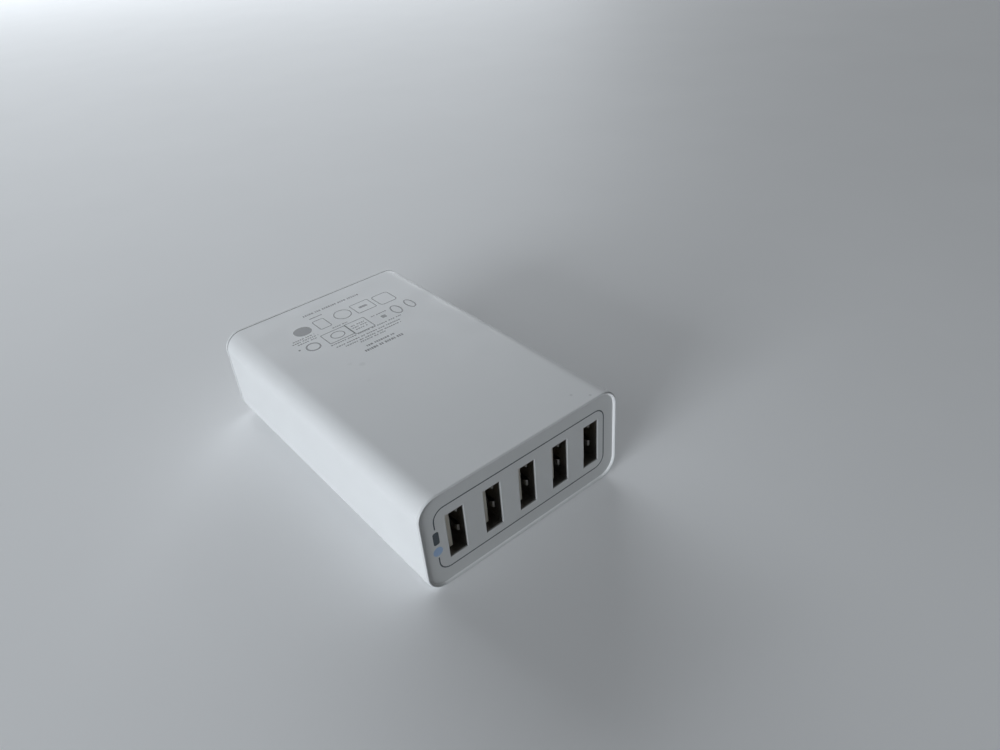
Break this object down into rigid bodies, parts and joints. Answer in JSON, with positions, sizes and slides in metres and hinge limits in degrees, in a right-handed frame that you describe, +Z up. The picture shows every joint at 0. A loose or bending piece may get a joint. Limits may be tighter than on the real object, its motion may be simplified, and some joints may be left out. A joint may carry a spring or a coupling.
{
  "type": "multi port usb desktop charger",
  "caption": "Flat white desktop charger: a rounded moulded sleeve with a row of upright USB-A sockets in a recessed end panel and a figure-of-eight mains inlet at the other end.",
  "frame": {"origin": "middle of the broad face that it lies on", "axes": "+Y from the socket panel to the mains inlet, +Z up through the printed face, +X across the sockets"},
  "size_m": [0.057, 0.092, 0.0258],
  "materials": {
    "housing_white": "fine moulded texture",
    "panel_white": "satin, with a printed line",
    "inlet_white": "satin",
    "plated_pin": "nickel plated",
    "shell_steel": "plated sheet",
    "tongue_ivory": "moulded",
    "contact_gold": "plated",
    "board_green": "solder mask",
    "chip_black": "moulded",
    "ferrite": "sintered",
    "bobbin_black": "moulded",
    "winding_tape": "polyester tape",
    "copper_wire": "enamelled",
    "film_yellow": "moulded box",
    "disc_blue": "dipped",
    "can_sleeve": "shrunk sleeve",
    "heat_sink": "mill finish",
    "fastener_steel": "plated",
    "sheet_clear": "polyester film"
  },
  "bodies": {
    "root": {"sleeve_housing": "housing_white", "rear_cap": "housing_white", "front_panel": "panel_white", "inlet_body": "inlet_white", "inlet_pin_1": "plated_pin", "inlet_pin_2": "plated_pin", "header_pins": "plated_pin", "usb_shell_1": "shell_steel", "usb_shell_2": "shell_steel", "usb_shell_3": "shell_steel", "usb_shell_4": "shell_steel", "usb_shell_5": "shell_steel", "usb_insulator_1": "tongue_ivory", "usb_insulator_2": "tongue_ivory", "usb_insulator_3": "tongue_ivory", "usb_insulator_4": "tongue_ivory", "usb_insulator_5": "tongue_ivory", "usb_contacts_1": "contact_gold", "usb_contacts_2": "contact_gold", "usb_contacts_3": "contact_gold", "usb_contacts_4": "contact_gold", "usb_contacts_5": "contact_gold", "usb_board": "board_green", "main_board": "board_green", "charge_chips": "chip_black", "driver_chip": "chip_black", "optocoupler": "chip_black", "bridge_rectifier": "chip_black", "switching_transistor": "chip_black", "output_rectifier": "chip_black", "fuse": "chip_black", "header_bar": "chip_black", "choke_core": "ferrite", "transformer_core": "ferrite", "output_inductor": "ferrite", "transformer_bobbin": "bobbin_black", "choke_base": "bobbin_black", "transformer_winding": "winding_tape", "choke_windings": "copper_wire", "filter_capacitor": "film_yellow", "varistor": "disc_blue", "bridging_capacitor": "disc_blue", "bulk_capacitor_1": "can_sleeve", "bulk_capacitor_2": "can_sleeve", "output_capacitor_1": "can_sleeve", "output_capacitor_2": "can_sleeve", "primary_heat_sink": "heat_sink", "secondary_heat_sink": "heat_sink", "heat_sink_clips": "fastener_steel", "insulating_sheet": "sheet_clear"}
  },
  "joints": []
}
